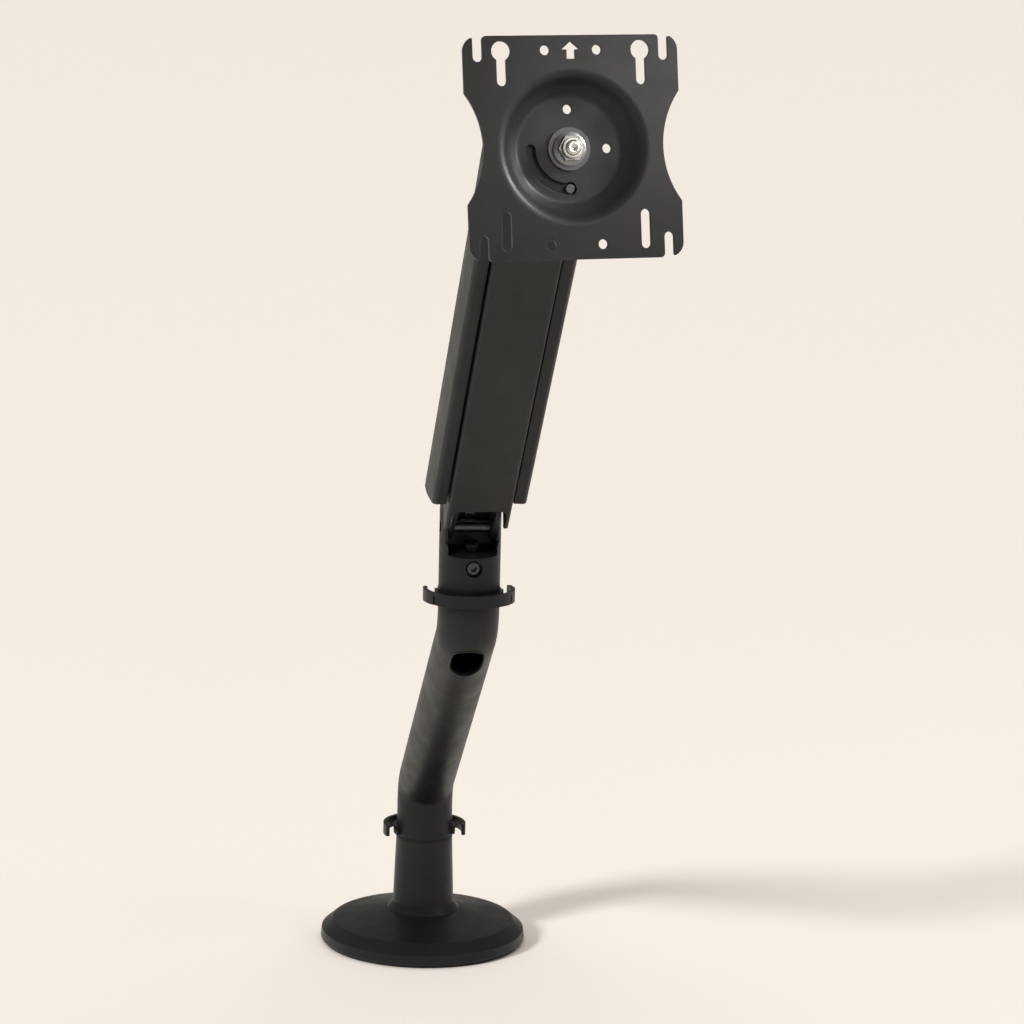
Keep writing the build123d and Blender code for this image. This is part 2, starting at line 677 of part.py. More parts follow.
with BuildPart() as top_cover:
    with BuildSketch(ARM_PROFILE.offset(36.0)):
        with BuildLine():
            half = COVER_IN - 0.3
            back = -UPPER_TOP
            Line((-half, back), (half, back))
            Line((half, back), (half, back + 1.2))
            ThreePointArc((half, back + 1.2), (0, back + 2.8), (-half, back + 1.2))
            Line((-half, back + 1.2), (-half, back))
        make_face()
    extrude(amount=ARM_LENGTH - 4 - 36.0)
save(top_cover.part, "top_cover")

# ---- tip knuckle, held level by the two links ----
KNUCKLE_HALF = 16.9
BARREL_R = 12.0
TIP_EYE_TOP_R = 4.8
BARREL_LOW = TIP_Z - 9.0
BARREL_HIGH = TIP_Z + 17.0
PAN_PIN_R = 6.0

with BuildPart() as tip_knuckle:
    with BuildSketch(TIP_SIDE):
        with BuildLine():
            Line((0, -9), (PAN_AHEAD, -9))
            eye_front = (TIP_EYE_TOP_R, LINK_RISE)
            eye_back = (-TIP_EYE_TOP_R, LINK_RISE)
            Polyline((PAN_AHEAD, -9), (PAN_AHEAD, 17), (PAN_AHEAD - 13.5, 17), eye_front)
            ThreePointArc(eye_front, (0, LINK_RISE + TIP_EYE_TOP_R), eye_back)
            Line(eye_back, (-9, 0))
            ThreePointArc((-9, 0), (-6.364, -6.364), (0, -9))
        make_face()
    extrude(amount=BARREL_R, both=True)
    with BuildSketch(TIP_SIDE):
        Circle(9.0)
    extrude(amount=KNUCKLE_HALF, both=True)
    with BuildSketch(KNUCKLE_AXIS.offset(BARREL_LOW)):
        Circle(BARREL_R)
    extrude(amount=BARREL_HIGH - BARREL_LOW)
    with BuildSketch(KNUCKLE_AXIS.offset(BARREL_LOW)):
        with BuildLine():
            front = CenterArc((0, 0), BARREL_R, 180, 180)
            Polyline(front @ 1, (BARREL_R, -20), (-BARREL_R, -20), front @ 0)
        make_face()
    extrude(amount=BARREL_HIGH - BARREL_LOW, mode=Mode.SUBTRACT)
    with BuildSketch(KNUCKLE_AXIS.offset(BARREL_LOW - 1)):
        Circle(PAN_PIN_R + FIT)
    extrude(amount=BARREL_HIGH - BARREL_LOW + 2, mode=Mode.SUBTRACT)
    with BuildSketch(TIP_SIDE):
        Circle(LINK_PIN_R)
        with Locations((0, LINK_RISE)):
            Circle(TIP_PIN_R)
    extrude(amount=KNUCKLE_HALF + 1, both=True, mode=Mode.SUBTRACT)
save(tip_knuckle.part, "tip_knuckle")
save(cross_pin(TIP_SIDE, 0, 0, LINK_PIN_R, CHANNEL_HALF), "tip_lower_pin")
save(cross_pin(TIP_SIDE, 0, LINK_RISE, TIP_PIN_R, UPPER_OUT - 0.2), "tip_upper_pin")

# ---- pan fork and its pin ----
FORK_T = 4.5
FORK_GAP = 0.3
EAR_IN = 9.0
EAR_OUT = 13.5
FORK_EYE_R = 10.0
FORK_WEB_AHEAD = 14.9

with BuildPart() as pan_fork:
    for low in (BARREL_LOW - FORK_GAP - FORK_T, BARREL_HIGH + FORK_GAP):
        with BuildSketch(PAN_AXIS.offset(low)):
            Circle(BARREL_R)
            with Locations((0, -8.5)):
                Rectangle(2 * BARREL_R, 17.0)
            Circle(PAN_PIN_R, mode=Mode.SUBTRACT)
        extrude(amount=FORK_T)
    with BuildSketch(PAN_AXIS.offset(BARREL_LOW - FORK_GAP - FORK_T)):
        with Locations((0, -FORK_WEB_AHEAD)):
            Rectangle(2 * EAR_OUT, 4.2)
    extrude(amount=BARREL_HIGH - BARREL_LOW + 2 * (FORK_GAP + FORK_T))
    for side in (-1, 1):
        with BuildSketch(TILT_SIDE.offset(side * EAR_IN)):
            Circle(FORK_EYE_R)
            with Locations((-4.0, -0.6)):
                Rectangle(8.2, 2 * FORK_EYE_R)
        extrude(amount=side * (EAR_OUT - EAR_IN))
    with BuildSketch(TILT_SIDE):
        Circle(LINK_PIN_R)
    extrude(amount=EAR_OUT + 2, both=True, mode=Mode.SUBTRACT)
save(pan_fork.part, "pan_fork")

with BuildPart() as pan_pin:
    low = BARREL_LOW - FORK_GAP - FORK_T
    high = BARREL_HIGH + FORK_GAP + FORK_T
    with BuildSketch(PAN_AXIS.offset(low)):
        Circle(PAN_PIN_R)
    extrude(amount=high - low)
    with BuildSketch(PAN_AXIS.offset(high)):
        Circle(8.5)
    extrude(amount=2.4)
    fillet(pan_pin.edges().filter_by(GeomType.CIRCLE).sort_by(Axis.Z)[-1], 1.0)
    with BuildSketch(PAN_AXIS.offset(high + 2.4)):
        RegularPolygon(3.5, 6)
    extrude(amount=-3.5, mode=Mode.SUBTRACT)
save(pan_pin.part, "pan_pin")

tilt_bolt = cross_pin(TILT_SIDE, 0, 0, LINK_PIN_R, EAR_OUT, head_r=7.0, head_t=3.2)
save(tilt_bolt, "tilt_bolt")

# ---- tilt bracket behind the plate's dish ----
FLOOR_BACK = TILT_BEHIND - DISH_DEPTH - PLATE_T  # dish floor's back, ahead of the tilt axis
FLANGE_R = 17.0
LOBE_R = 24.0  # the flange reaches further out behind the plate's curved slot
LOBE_SPAN = 62.0
SLOT_MIDDLE = 225.0
FLANGE_T = 3.5
CENTRE_R = 4.0
WASHER_GAP = 0.3
BRACKET_EYE_R = 6.8
FLANGE_AHEAD = FLOOR_BACK - WASHER_GAP - FLANGE_T

with BuildPart() as tilt_bracket:
    with BuildSketch(TILT_SIDE):
        Circle(BRACKET_EYE_R)
        with Locations((FLANGE_AHEAD / 2, 0)):
            Rectangle(FLANGE_AHEAD, 2 * BRACKET_EYE_R - 0.6)
    extrude(amount=EAR_IN - 0.3, both=True)
    with BuildSketch(TILT_AHEAD.offset(FLANGE_AHEAD)):
        Circle(FLANGE_R)
        add(Rotation(0, 0, SLOT_MIDDLE) * arc_band(FLANGE_R - 6, LOBE_R, LOBE_SPAN))
    extrude(amount=FLANGE_T)
    with BuildSketch(TILT_SIDE):
        Circle(LINK_PIN_R + FIT)
    extrude(amount=EAR_IN + 2, both=True, mode=Mode.SUBTRACT)
    with BuildSketch(TILT_AHEAD.offset(5.0)):
        Circle(CENTRE_R)
    extrude(amount=14.0, mode=Mode.SUBTRACT)
save(tilt_bracket.part, "tilt_bracket")

# ---- VESA plate ----
NOTCH_IN = (VESA_LARGE - SCREW_SLOT) / 2
NOTCH_OUT = (VESA_LARGE + SCREW_SLOT) / 2
NOTCH_DEEP = 10.8
KEYHOLE_R = 5.15
KEYHOLE_UP = 50.4
KEYHOLE_SLOT_END = 34.9
LOW_SLOT_MID = 43.0
LOW_SLOT_LENGTH = 20.6
AUX_X = 14.0
AUX_Y = 50.6
AUX_R = 2.6
WAIST_X = 48.4
WAIST_TOP = 28.8
CORNER_R = 8.0
FINGER_TIP_R = 0.8
NOTCH_SHOULDER_R = 2.2
PIN_CIRCLE = 20.8
PIN_HOLE_R = 2.5
ARC_SLOT_W = 5.6
PLATE_BORE = CENTRE_R + 0.1

with BuildPart() as vesa_plate:
    with BuildSketch(PLATE.offset(-PLATE_T)) as outline:
        RectangleRounded(PLATE_W, PLATE_H, CORNER_R)
        for side in (-1, 1):
            edge = side * PLATE_W / 2
            beyond = side * (PLATE_W / 2 + 8)
            hip = side * (PLATE_W / 2 - 2.6)
            with BuildLine():
                Polyline((beyond, WAIST_TOP + 3), (edge, WAIST_TOP), (hip, WAIST_TOP - 4))
                ThreePointArc((hip, WAIST_TOP - 4), (side * WAIST_X, 0), (hip, 4 - WAIST_TOP))
                Polyline((hip, 4 - WAIST_TOP), (edge, -WAIST_TOP), (beyond, -WAIST_TOP - 3))
                Line((beyond, -WAIST_TOP - 3), (beyond, WAIST_TOP + 3))
            make_face(mode=Mode.SUBTRACT)
        for x in (-VESA_LARGE / 2, VESA_LARGE / 2):
            for y in (-1, 1):
                with Locations((x, y * PLATE_H / 2)):
                    SlotOverall(2 * NOTCH_DEEP + SCREW_SLOT, SCREW_SLOT, rotation=90, mode=Mode.SUBTRACT)
        notch_sides = outline.vertices().filter_by(lambda v: abs(v.Y) > PLATE_H / 2 - 1)
        shoulders = notch_sides.filter_by(lambda v: abs(abs(v.X) - NOTCH_IN) < 0.3)
        fillet(shoulders, NOTCH_SHOULDER_R)
        tips = outline.vertices().filter_by(lambda v: abs(v.Y) > PLATE_H / 2 - 2 and abs(abs(v.X) - NOTCH_OUT) < 0.3)
        fillet(tips, FINGER_TIP_R)
        for x in (-VESA_SMALL / 2, VESA_SMALL / 2):
            with Locations((x, KEYHOLE_UP)):
                Circle(KEYHOLE_R, mode=Mode.SUBTRACT)
            with Locations((x, (KEYHOLE_UP + KEYHOLE_SLOT_END) / 2)):
                SlotCenterToCenter(KEYHOLE_UP - KEYHOLE_SLOT_END, SCREW_SLOT, rotation=90, mode=Mode.SUBTRACT)
            with Locations((x, -LOW_SLOT_MID)):
                SlotOverall(LOW_SLOT_LENGTH, SCREW_SLOT, rotation=90, mode=Mode.SUBTRACT)
        with Locations((-AUX_X, AUX_Y), (AUX_X, AUX_Y), (-AUX_X, -AUX_Y), (AUX_X, -AUX_Y)):
            Circle(AUX_R, mode=Mode.SUBTRACT)
        with BuildLine():
            Polyline((0, 55.2), (4.95, 50.9), (2.3, 50.9), (2.3, 46.0))
            Polyline((2.3, 46.0), (-2.3, 46.0), (-2.3, 50.9), (-4.95, 50.9), (0, 55.2))
        make_face(mode=Mode.SUBTRACT)
        Circle(DISH_R + 2, mode=Mode.SUBTRACT)
    extrude(amount=PLATE_T)
    section = Plane(origin=PLATE.origin, x_dir=PLATE.x_dir, z_dir=PLATE.x_dir.cross(PLATE.z_dir))
    seam = DISH_R + 2.01  # where the dish joins the flat sheet
    bottom = -DISH_DEPTH - PLATE_T
    with BuildSketch(section):
        with BuildLine():
            Spline(
                (seam, 0), (DISH_R - 0.8, -0.8), (33.6, -6.2), (29.2, -10.2), (26.4, -DISH_DEPTH),
                tangents=[(-1, 0), (-1, 0)],
            )
            Polyline((26.4, -DISH_DEPTH), (PLATE_BORE, -DISH_DEPTH), (PLATE_BORE, bottom), (25.0, bottom))
            Spline(
                (25.0, bottom), (28.0, bottom + 0.9), (32.0, -8.2), (37.4, -3.3), (seam, -PLATE_T),
                tangents=[(1, 0), (1, 0)],
            )
            Line((seam, -PLATE_T), (seam, 0))
        make_face()
    revolve(axis=Axis(PLATE.origin, PLATE.z_dir))
    with BuildSketch(PLATE.offset(-DISH_DEPTH - PLATE_T - 1)):
        with Locations((0, PIN_CIRCLE), (PIN_CIRCLE, 0)):
            Circle(PIN_HOLE_R)
        slot_in = PIN_CIRCLE - ARC_SLOT_W / 2
        add(Rotation(0, 0, SLOT_MIDDLE) * arc_band(slot_in, slot_in + ARC_SLOT_W, 45.0))
        with Locations((-PIN_CIRCLE, 0)):
            Circle(ARC_SLOT_W / 2)
        with Locations((0, -PIN_CIRCLE)):
            Circle(ARC_SLOT_W / 2 + 0.8)
    extrude(amount=PLATE_T + 2, mode=Mode.SUBTRACT)
save(vesa_plate.part, "vesa_plate")

# ---- centre bolt, washers, lock nut and limit pin ----
FLOOR = PLATE.offset(-DISH_DEPTH)
LARGE_WASHER_R = 11.4
LARGE_WASHER_T = 1.2
CUP_R = 8.9
CUP_T = 0.9
NUT_AF = 12.8
NUT_T = 6.0
COLLAR_T = 1.6  # round collar on the nut's outer end
BOLT_OUT = 10.8

with BuildPart() as centre_bolt:
    with BuildSketch(FLOOR.offset(-PLATE_T - WASHER_GAP - 9)):
        Circle(CENTRE_R)
    extrude(amount=PLATE_T + WASHER_GAP + 9 + BOLT_OUT)
    chamfer(centre_bolt.edges().filter_by(GeomType.CIRCLE).sort_by(Axis.Y)[0], 0.6)
save(centre_bolt.part, "centre_bolt")

friction_washer = turned(
    [
        (CENTRE_R, SEAT),
        (LARGE_WASHER_R, SEAT),
        (LARGE_WASHER_R, SEAT + LARGE_WASHER_T),
        (CENTRE_R, SEAT + LARGE_WASHER_T),
    ],
    FLOOR,
)
save(friction_washer, "friction_washer")

cup_low = SEAT + LARGE_WASHER_T
cup_washer = turned(
    [
        (CENTRE_R, cup_low),
        (CUP_R, cup_low),
        (CUP_R, cup_low + CUP_T),
        (CUP_R - 2.4, cup_low + 2 * CUP_T),
        (CENTRE_R, cup_low + 2 * CUP_T),
    ],
    FLOOR,
)
save(cup_washer, "cup_washer")

nut_low = cup_low + 2 * CUP_T
with BuildPart() as lock_nut:
    with BuildSketch(FLOOR.offset(nut_low)):
        RegularPolygon(NUT_AF / 2, 6, major_radius=False)
    extrude(amount=NUT_T - COLLAR_T)
    with BuildSketch(FLOOR.offset(nut_low + NUT_T - COLLAR_T)):
        Circle(NUT_AF / 2 - 0.9)
    extrude(amount=COLLAR_T)
    with BuildSketch(FLOOR.offset(nut_low)):
        Circle(CENTRE_R)
    extrude(amount=NUT_T, mode=Mode.SUBTRACT)
save(lock_nut.part, "lock_nut")

with BuildPart() as limit_pin:
    with BuildSketch(PLATE.offset(-DISH_DEPTH - PLATE_T - WASHER_GAP)):
        with Locations((0, -PIN_CIRCLE)):
            Circle(ARC_SLOT_W / 2 - 0.5)
    extrude(amount=PLATE_T + WASHER_GAP + 0.2)
save(limit_pin.part, "limit_pin")
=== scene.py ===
"""Looks for the desk monitor arm: materials, small turned and rolled pieces, studio floor, lights and camera.

Metres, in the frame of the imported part: +Z up, the arm points along -Y, the origin is under the base.
"""
import json
import math

import bpy
import numpy as np
from mathutils import Matrix, Vector


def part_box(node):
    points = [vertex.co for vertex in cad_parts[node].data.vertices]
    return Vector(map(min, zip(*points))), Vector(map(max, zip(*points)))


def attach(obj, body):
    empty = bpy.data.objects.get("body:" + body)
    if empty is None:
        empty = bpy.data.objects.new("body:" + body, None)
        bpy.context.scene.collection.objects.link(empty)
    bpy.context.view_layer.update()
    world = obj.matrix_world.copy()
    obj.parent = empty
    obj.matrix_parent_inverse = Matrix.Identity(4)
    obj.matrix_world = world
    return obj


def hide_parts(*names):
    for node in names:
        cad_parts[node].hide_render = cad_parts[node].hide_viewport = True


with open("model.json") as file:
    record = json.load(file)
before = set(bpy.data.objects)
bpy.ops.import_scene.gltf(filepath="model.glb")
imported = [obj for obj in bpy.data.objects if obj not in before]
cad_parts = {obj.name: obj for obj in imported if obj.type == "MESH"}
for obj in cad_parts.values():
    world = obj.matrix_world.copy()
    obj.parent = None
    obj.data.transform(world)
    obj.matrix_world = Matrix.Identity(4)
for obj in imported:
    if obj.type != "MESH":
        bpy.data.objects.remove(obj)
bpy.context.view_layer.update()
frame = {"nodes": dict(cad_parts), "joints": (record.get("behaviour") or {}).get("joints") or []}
MM = 0.001
# Places of the sockets on the Mix node when it mixes colours.
MIX_AMOUNT, MIX_FROM, MIX_TO, MIX_RESULT = 0, 6, 7, 2

# ---- places, from the frame ----
JOINTS = {joint["name"]: joint for joint in frame["joints"]}


def joint_place(name):
    """A joint's point and unit axis as arrays."""
    joint = JOINTS[name]
    axis = np.array(joint["axis"], float)
    return np.array(joint["pos_m"], float), axis / np.linalg.norm(axis)


def node_box(name):
    """Lowest and highest corner of a CAD node as arrays."""
    low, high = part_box(name)
    return np.array(low, float), np.array(high, float)


# ---- surfaces ----
def surface(name, points, body, material, closed_round=True, closed_along=False):
    """A mesh from a grid of points: rows run along the piece, columns round it.

    Column j joins column j + 1, and the last joins the first when the piece is closed round.
    """
    rows, columns = points.shape[:2]
    index = np.arange(rows * columns).reshape(rows, columns)
    if closed_round:
        index = np.concatenate([index, index[:, :1]], axis=1)
    if closed_along:
        index = np.concatenate([index, index[:1]], axis=0)
    quads = np.stack([index[:-1, :-1], index[:-1, 1:], index[1:, 1:], index[1:, :-1]], axis=-1).reshape(-1, 4)
    mesh = bpy.data.meshes.new(name)
    mesh.from_pydata(points.reshape(-1, 3).tolist(), [], quads.tolist())
    mesh.polygons.foreach_set("use_smooth", np.ones(len(mesh.polygons), bool))
    mesh.update()
    piece = bpy.data.objects.new(name, mesh)
    bpy.context.collection.objects.link(piece)
    mesh.materials.append(material)
    if body:
        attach(piece, body)
    return piece


def axes_beside(axis):
    """Two unit vectors square to an axis, in right-hand order with it."""
    helper = np.array([1.0, 0, 0]) if abs(axis[0]) < 0.9 else np.array([0, 0, 1.0])
    first = np.cross(helper, axis)
    first /= np.linalg.norm(first)
    return first, np.cross(axis, first)


def turned(name, profile, origin, axis, body, material, sides=72, wave=None):
    """A turned piece: the profile's (radius, height) pairs, carried round the axis.

    A point is origin + height * axis + radius * (cos a * first + sin a * second).
    wave(angle, height) returns an amount added to the radius, for threads and knurls.
    """
    profile = np.array(profile, float)
    first, second = axes_beside(axis)
    angle = np.linspace(0, 2 * math.pi, sides, endpoint=False)
    radius = np.repeat(profile[:, :1], sides, axis=1)
    height = np.repeat(profile[:, 1:2], sides, axis=1)
    if wave is not None:
        radius = radius + wave(angle[None, :], height)
    ring = np.cos(angle)[None, :, None] * first + np.sin(angle)[None, :, None] * second
    points = origin + height[..., None] * axis + radius[..., None] * ring
    return surface(name, points, body, material)


# ---- finishes ----
BEVEL_SAMPLES = 4
EDGE_TURNED = 0.72  # the rounded shading's match with the face: wholly edge here
EDGE_FLAT = 0.985  # and wholly flat here
# size of the noise that breaks up the painted edge highlight
EDGE_BREAKUP_SIZE = 1.6 * MM


class Finish:
    """A procedural material on object coordinates, built up one layer at a time."""

    def __init__(self, name, colour, roughness, metallic=0.0, **sockets):
        self.material = bpy.data.materials.new(name)
        self.material.use_nodes = True
        self.nodes = self.material.node_tree.nodes
        self.links = self.material.node_tree.links
        self.shader = self.nodes["Principled BSDF"]
        self.colour = (*colour, 1.0)
        self.roughness = roughness
        self.shader.inputs["Base Color"].default_value = self.colour
        self.shader.inputs["Roughness"].default_value = roughness
        self.shader.inputs["Metallic"].default_value = metallic
        for socket, value in sockets.items():
            self.shader.inputs[socket.replace("_", " ")].default_value = value
        self.place = self.nodes.new("ShaderNodeTexCoord").outputs["Object"]
        self.tint = None
        self.normal = None

    def stretched(self, scale):
        """Object coordinates scaled by a different amount on each axis."""
        mapping = self.nodes.new("ShaderNodeMapping")
        mapping.inputs["Scale"].default_value = scale
        self.links.new(self.place, mapping.inputs["Vector"])
        return mapping.outputs["Vector"]

    def noise(self, size, detail=2.0, place=None):
        """Noise whose grains are about size metres across."""
        node = self.nodes.new("ShaderNodeTexNoise")
        node.inputs["Scale"].default_value = 1.0 / size
        node.inputs["Detail"].default_value = detail
        self.links.new(place or self.place, node.inputs["Vector"])
        return node.outputs["Fac"]

    def spread(self, value, low, high, start=0.3, end=0.7):
        """A value carried from start..end to low..high."""
        node = self.nodes.new("ShaderNodeMapRange")
        for socket, number in (("From Min", start), ("From Max", end), ("To Min", low), ("To Max", high)):
            node.inputs[socket].default_value = number
        self.links.new(value, node.inputs["Value"])
        return node.outputs["Result"]

    def mixed(self, amount, colour):
        """The colour so far, mixed towards another by an amount."""
        node = self.nodes.new("ShaderNodeMix")
        node.data_type = "RGBA"
        if self.tint is None:
            node.inputs[MIX_FROM].default_value = self.colour
        else:
            self.links.new(self.tint, node.inputs[MIX_FROM])
        node.inputs[MIX_TO].default_value = (*colour, 1.0)
        self.links.new(amount, node.inputs[MIX_AMOUNT])
        self.tint = node.outputs[MIX_RESULT]
        self.links.new(self.tint, self.shader.inputs["Base Color"])

    def uneven(self, size, amount):
        """Roughness that wanders by an amount over patches of a size."""
        value = self.spread(self.noise(size, 3.0), self.roughness - amount, self.roughness + amount)
        self.links.new(value, self.shader.inputs["Roughness"])

    def soft_edges(self, radius):
        """Shading that rounds each edge by a radius."""
        node = self.nodes.new("ShaderNodeBevel")
        node.samples = BEVEL_SAMPLES
        node.inputs["Radius"].default_value = radius
        self.normal = node.outputs["Normal"]
        self.links.new(self.normal, self.shader.inputs["Normal"])

    def edge_highlight_and_wear(self, colour, amount=0.7):
        """A lighter colour painted where the rounded shading leaves the true face, broken up by a fine noise: a
        painted edge highlight that partly stands for rubbed wear.
        """
        face = self.nodes.new("ShaderNodeNewGeometry").outputs["True Normal"]
        dot = self.nodes.new("ShaderNodeVectorMath")
        dot.operation = "DOT_PRODUCT"
        self.links.new(self.normal, dot.inputs[0])
        self.links.new(face, dot.inputs[1])
        edge = self.spread(dot.outputs["Value"], amount, 0.0, EDGE_TURNED, EDGE_FLAT)
        edge_breakup = self.nodes.new("ShaderNodeMath")
        edge_breakup.operation = "MULTIPLY"
        self.links.new(edge, edge_breakup.inputs[0])
        self.links.new(self.spread(self.noise(EDGE_BREAKUP_SIZE, 3.0), 0.25, 1.0, 0.42, 0.6), edge_breakup.inputs[1])
        self.mixed(edge_breakup.outputs[0], colour)

    def bumps(self, height, strength, distance):
        """A bump from a height value, on top of the rounded edges."""
        node = self.nodes.new("ShaderNodeBump")
        node.inputs["Strength"].default_value = strength
        node.inputs["Distance"].default_value = distance
        self.links.new(height, node.inputs["Height"])
        if self.normal is not None:
            self.links.new(self.normal, node.inputs["Normal"])
        self.normal = node.outputs["Normal"]
        self.links.new(self.normal, self.shader.inputs["Normal"])


CHARCOAL = (0.0062, 0.0062, 0.0066)
DUST = (0.018, 0.0174, 0.0165)
# lighter edge colour: a painted edge highlight, partly standing for wear
EDGE_HIGHLIGHT_AND_WEAR = (0.04, 0.039, 0.038)
SHEEN = 0.28


def powder_coat(name, colour=CHARCOAL, roughness=0.46, grain=0.75 * MM):
    """Sprayed and baked coat: fine orange-peel grain, patches of gloss, faint dust, and edges painted lighter
    as a painted highlight that partly stands for rubbing.
    """
    coat = Finish(name, colour, roughness, Specular_IOR_Level=SHEEN)
    coat.mixed(coat.spread(coat.noise(38 * MM, 4.0), 0.0, 0.22), DUST)
    coat.mixed(coat.spread(coat.noise(grain * 1.3, 1.0), 0.0, 0.2, 0.55, 0.75), DUST)
    coat.uneven(14 * MM, 0.06)
    coat.soft_edges(0.45 * MM)
    # painted edge highlight, partly wear: a lighter colour along the edges
    coat.edge_highlight_and_wear(EDGE_HIGHLIGHT_AND_WEAR)
    coat.bumps(coat.noise(grain, 2.0), 0.35, 0.09 * MM)
    return coat.material


def moulded_plastic(name, colour=CHARCOAL, roughness=0.5):
    """Moulded shell: spark-eroded grain, slightly lighter than the coat, with gentle sheen patches."""
    shell = Finish(name, colour, roughness, Specular_IOR_Level=SHEEN)
    shell.mixed(shell.spread(shell.noise(55 * MM, 3.0), 0.0, 0.16), DUST)
    shell.uneven(22 * MM, 0.05)
    shell.soft_edges(0.5 * MM)
    # painted edge highlight, partly wear: a lighter colour along the edges
    shell.edge_highlight_and_wear(EDGE_HIGHLIGHT_AND_WEAR, 0.4)
    shell.bumps(shell.noise(0.5 * MM, 3.0), 0.3, 0.07 * MM)
    return shell.material


def satin_plastic(name, colour, roughness):
    """Smooth moulded nylon or acetal with a faint flow mottle."""
    part = Finish(name, colour, roughness, Specular_IOR_Level=SHEEN)
    part.mixed(part.spread(part.noise(6 * MM, 3.0), 0.0, 0.18), DUST)
    part.uneven(5 * MM, 0.05)
    part.soft_edges(0.3 * MM)
    part.bumps(part.noise(1.4 * MM, 2.0), 0.12, 0.05 * MM)
    return part.material


def pad_rubber(name):
    """Matte foam rubber, pitted, with dust in the pits."""
    pad = Finish(name, (0.02, 0.02, 0.02), 0.85)
    pits = pad.noise(1.1 * MM, 4.0)
    pad.mixed(pad.spread(pits, 0.0, 0.5, 0.5, 0.75), DUST)
    pad.soft_edges(0.4 * MM)
    pad.bumps(pits, 0.5, 0.15 * MM)
    return pad.material


def plated_steel(name, colour, roughness, lathe_axis):
    """Plated steel: fine lathe lines square to an axis, with cloudy plating and darker stains."""
    steel = Finish(name, colour, roughness, metallic=1.0)
    steel.mixed(steel.spread(steel.noise(2.6 * MM, 4.0), 0.0, 0.45), tuple(0.6 * c for c in colour))
    steel.uneven(3 * MM, 0.09)
    steel.soft_edges(0.2 * MM)
    lines = steel.noise(0.3 * MM, 2.0, steel.stretched(tuple(1.0 if a else 0.06 for a in lathe_axis)))
    steel.bumps(lines, 0.25, 0.03 * MM)
    return steel.material


def enamel(name):
    """Gloss black enamel of the gas spring, with faint drag lines along it."""
    paint = Finish(name, (0.012, 0.012, 0.013), 0.22, Coat_Weight=0.3)
    paint.uneven(9 * MM, 0.05)
    paint.soft_edges(0.3 * MM)
    paint.bumps(paint.noise(5 * MM, 1.0, paint.stretched((1.0, 0.15, 0.15))), 0.08, 0.1 * MM)
    return paint.material


COAT = powder_coat("charcoal_powder_coat")
GLOSSIER_COAT = powder_coat("base_powder_coat", roughness=0.4, grain=0.6 * MM)
PLATE_COAT = powder_coat("plate_powder_coat", colour=(0.0075, 0.0075, 0.0078), roughness=0.46, grain=0.9 * MM)
SHELL = moulded_plastic("cover_moulded_plastic", colour=(0.0066, 0.0066, 0.007))
CLIP_NYLON = satin_plastic("clip_nylon", (0.0065, 0.0065, 0.0068), 0.42)
ACETAL = satin_plastic("bearing_acetal", (0.008, 0.008, 0.008), 0.34)
PALE_NYLON = satin_plastic("nut_nylon", (0.5, 0.48, 0.44), 0.45)
RUBBER = pad_rubber("pad_rubber")
ZINC = plated_steel("zinc_plated_steel", (0.62, 0.61, 0.59), 0.27, (0, 1, 0))
DULL_ZINC = plated_steel("dull_zinc_steel", (0.24, 0.24, 0.24), 0.36, (0, 1, 0))
DARK_STEEL = plated_steel("dark_washer_steel", (0.085, 0.085, 0.088), 0.42, (0, 1, 0))
SPINDLE_STEEL = plated_steel("spindle_steel", (0.5, 0.5, 0.51), 0.3, (0, 0, 1))
PIN_STEEL = plated_steel("pin_steel", (0.42, 0.42, 0.43), 0.32, (1, 0, 0))
BLACK_ZINC = plated_steel("black_zinc_screw", (0.09, 0.09, 0.095), 0.36, (1, 0, 0))
ENAMEL = enamel("spring_enamel")

NODE_FINISHES = {
    COAT: (
        "bent_tube", "swivel_head", "lower_channel", "upper_channel", "tip_knuckle", "pan_fork", "tilt_bracket",
    ),
    GLOSSIER_COAT: ("base_disc", "base_post"),
    PLATE_COAT: ("vesa_plate",),
    SHELL: ("left_cover", "right_cover", "top_cover"),
    CLIP_NYLON: ("lower_cable_clip", "upper_cable_clip"),
    ACETAL: ("lower_bush", "upper_bush", "lower_washer", "upper_washer"),
    RUBBER: ("base_pad",),
    SPINDLE_STEEL: ("threaded_insert", "lower_spindle", "head_spindle", "spring_rod"),
    PIN_STEEL: ("upper_pivot_pin", "spring_end_pin", "tip_lower_pin", "tip_upper_pin"),
    ZINC: ("centre_bolt",),
    DULL_ZINC: ("cup_washer", "lock_nut"),
    DARK_STEEL: ("friction_washer",),
    BLACK_ZINC: (
        "tension_screw", "pan_pin", "tilt_bolt", "set_screw", "limit_pin", "lower_pivot_pin", "spring_pin",
    ),
    ENAMEL: ("spring_cylinder",),
}
for finish, names in NODE_FINISHES.items():
    for node_name in names:
        mesh = frame["nodes"][node_name].data
        mesh.materials.clear()
        mesh.materials.append(finish)

# ---- threaded stud in place of the plain centre bolt ----
STUD_R = 4.0 * MM
THREAD_PITCH = 1.25 * MM
THREAD_DEPTH = 0.45 * MM
THREAD_STEPS = 8  # rows in each pitch
THREAD_RUNOUT = 1.2 * MM
STUD_CHAMFER = 0.6 * MM
turn_point, plate_axis = joint_place("plate_turn")
bolt_low, bolt_high = node_box("centre_bolt")
tilted_half = STUD_R * math.sqrt(1 - plate_axis[1] ** 2)
stud_back = ((bolt_high[1] - turn_point[1]) - tilted_half) / plate_axis[1]
stud_front = ((bolt_low[1] - turn_point[1]) + tilted_half) / plate_axis[1]


